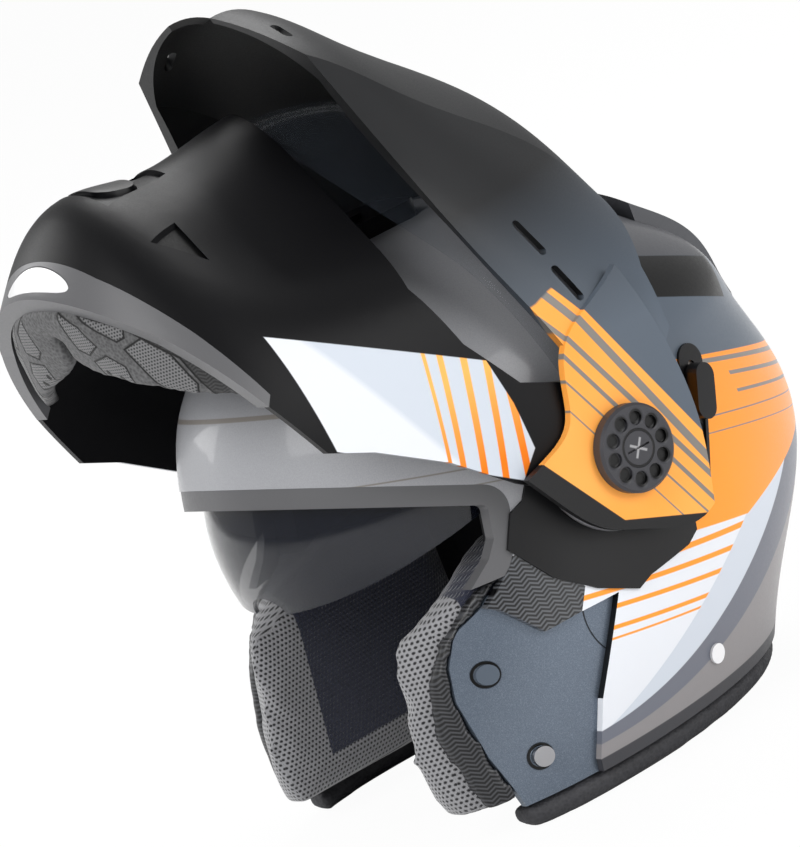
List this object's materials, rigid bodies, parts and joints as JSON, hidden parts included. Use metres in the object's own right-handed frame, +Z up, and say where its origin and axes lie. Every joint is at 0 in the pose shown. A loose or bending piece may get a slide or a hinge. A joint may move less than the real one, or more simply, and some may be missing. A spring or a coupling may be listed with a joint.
{
  "type": "modular motorcycle helmet",
  "caption": "Modular motorcycle helmet with a chin bar, peak and clear visor that swing up together on side pivots, and a drop-down sun visor.",
  "frame": {"origin": "under the middle of the head, on the plane that the neck roll rests on, below the side pivots", "axes": "+Z up, -Y the front of the helmet, +X the wearer's left, along the shared pivot axis"},
  "size_m": [0.2666, 0.3355, 0.3702],
  "materials": {
    "black_foam": "foam",
    "black_plastic": "moulded, satin",
    "clear_lens": "clear polycarbonate",
    "dark_plastic": "moulded, satin",
    "gasket_rubber": "moulded rubber",
    "guard_leather": "grained leatherette with mesh inserts",
    "impact_foam": "expanded foam",
    "lining_fabric": "brushed knit",
    "metallic_panel": "metallic blue-grey paint",
    "neck_fabric": "grained leatherette",
    "pad_fabric": "mesh and velvet",
    "painted_chin": "matte black with a white and orange side field",
    "painted_peak": "matte dark grey with orange arms",
    "painted_shell": "satin painted plastic, dark grey over orange, white and grey fields",
    "pin_steel": "turned",
    "rivet_black": "painted",
    "rivet_white": "painted",
    "satin_lip": "satin",
    "smoke_lens": "smoked polycarbonate",
    "trim_leather": "carbon-look leatherette with stitching",
    "white_gloss": "gloss",
    "woven_insert": "carbon-look weave under gloss"
  },
  "bodies": {
    "helmet": {"outer_shell": "painted_shell", "eyeport_gasket": "gasket_rubber", "side_panel_left": "metallic_panel", "side_panel_right": "metallic_panel", "carbon_insert_left": "woven_insert", "carbon_insert_right": "woven_insert", "eps_liner": "impact_foam", "crown_liner": "lining_fabric", "neck_roll": "neck_fabric", "cheek_pad_left": "pad_fabric", "cheek_pad_right": "pad_fabric", "cheek_trim_left": "trim_leather", "cheek_trim_right": "trim_leather", "pivot_plate_left": "black_plastic", "pivot_plate_right": "black_plastic", "pivot_cover_left": "black_plastic", "pivot_cover_right": "black_plastic", "strap_rivets": "rivet_black", "rear_rivets": "rivet_white", "striker_pins": "pin_steel", "sun_visor_pins": "pin_steel", "sun_visor_track": "black_plastic", "top_vent": "black_plastic", "rear_vent": "dark_plastic"},
    "chin_bar": {"chin_bar": "painted_chin", "side_vent_grilles": "black_plastic", "chin_lip": "satin_lip", "breath_guard": "guard_leather", "chin_bar_foam": "black_foam"},
    "vent_button": {"chin_vent_button": "black_plastic"},
    "release_lever": {"release_lever": "white_gloss"},
    "peak": {"peak": "painted_peak"},
    "knob_left": {"peak_knob_left": "black_plastic"},
    "knob_right": {"peak_knob_right": "black_plastic"},
    "visor": {"visor": "clear_lens"},
    "sun_visor": {"sun_visor": "smoke_lens"},
    "sun_visor_lever": {"sun_visor_lever": "black_plastic"},
    "vent_slider": {"top_vent_slider": "black_plastic"}
  },
  "joints": [
    {"name": "chin_bar_hinge", "type": "hinge", "parent": "helmet", "child": "chin_bar", "pos_m": [0, 0, 0.139], "axis": [1, 0, 0], "range_deg": [0, 85]},
    {"name": "peak_hinge", "type": "hinge", "parent": "helmet", "child": "peak", "pos_m": [0, 0, 0.139], "axis": [1, 0, 0], "range_deg": [0, 45]},
    {"name": "visor_hinge", "type": "hinge", "parent": "peak", "child": "visor", "pos_m": [0, 0, 0.139], "axis": [1, 0, 0], "range_deg": [0, 40]},
    {"name": "sun_visor_hinge", "type": "hinge", "parent": "helmet", "child": "sun_visor", "pos_m": [0, -0.036, 0.141], "axis": [1, 0, 0], "range_deg": [-36, 0]},
    {"name": "sun_visor_lever_slide", "type": "slide", "parent": "helmet", "child": "sun_visor_lever", "axis": [0.0599, -0.4204, -0.9054], "range_m": [0, 0.035]},
    {"name": "knob_left_turn", "type": "hinge", "parent": "peak", "child": "knob_left", "pos_m": [0.13, 0, 0.139], "axis": [1, 0, 0], "range_deg": [-90, 0]},
    {"name": "knob_right_turn", "type": "hinge", "parent": "peak", "child": "knob_right", "pos_m": [-0.13, 0, 0.139], "axis": [1, 0, 0], "range_deg": [-90, 0]},
    {"name": "vent_button_press", "type": "slide", "parent": "chin_bar", "child": "vent_button", "axis": [0, 0.0872, -0.9962], "range_m": [0, 0.0025], "stiffness_N_per_m": 400},
    {"name": "release_lever_pull", "type": "slide", "parent": "chin_bar", "child": "release_lever", "axis": [0, -0.0872, 0.9962], "range_m": [0, 0.003], "stiffness_N_per_m": 400},
    {"name": "vent_slider_slide", "type": "slide", "parent": "helmet", "child": "vent_slider", "axis": [0, 1, 0], "range_m": [0, 0.008]}
  ],
  "couplings": [
    {"joint": "peak_hinge", "follows": "chin_bar_hinge", "ratio": 0.52941},
    {"joint": "sun_visor_lever_slide", "follows": "sun_visor_hinge", "m_per_rad": -0.0557}
  ]
}
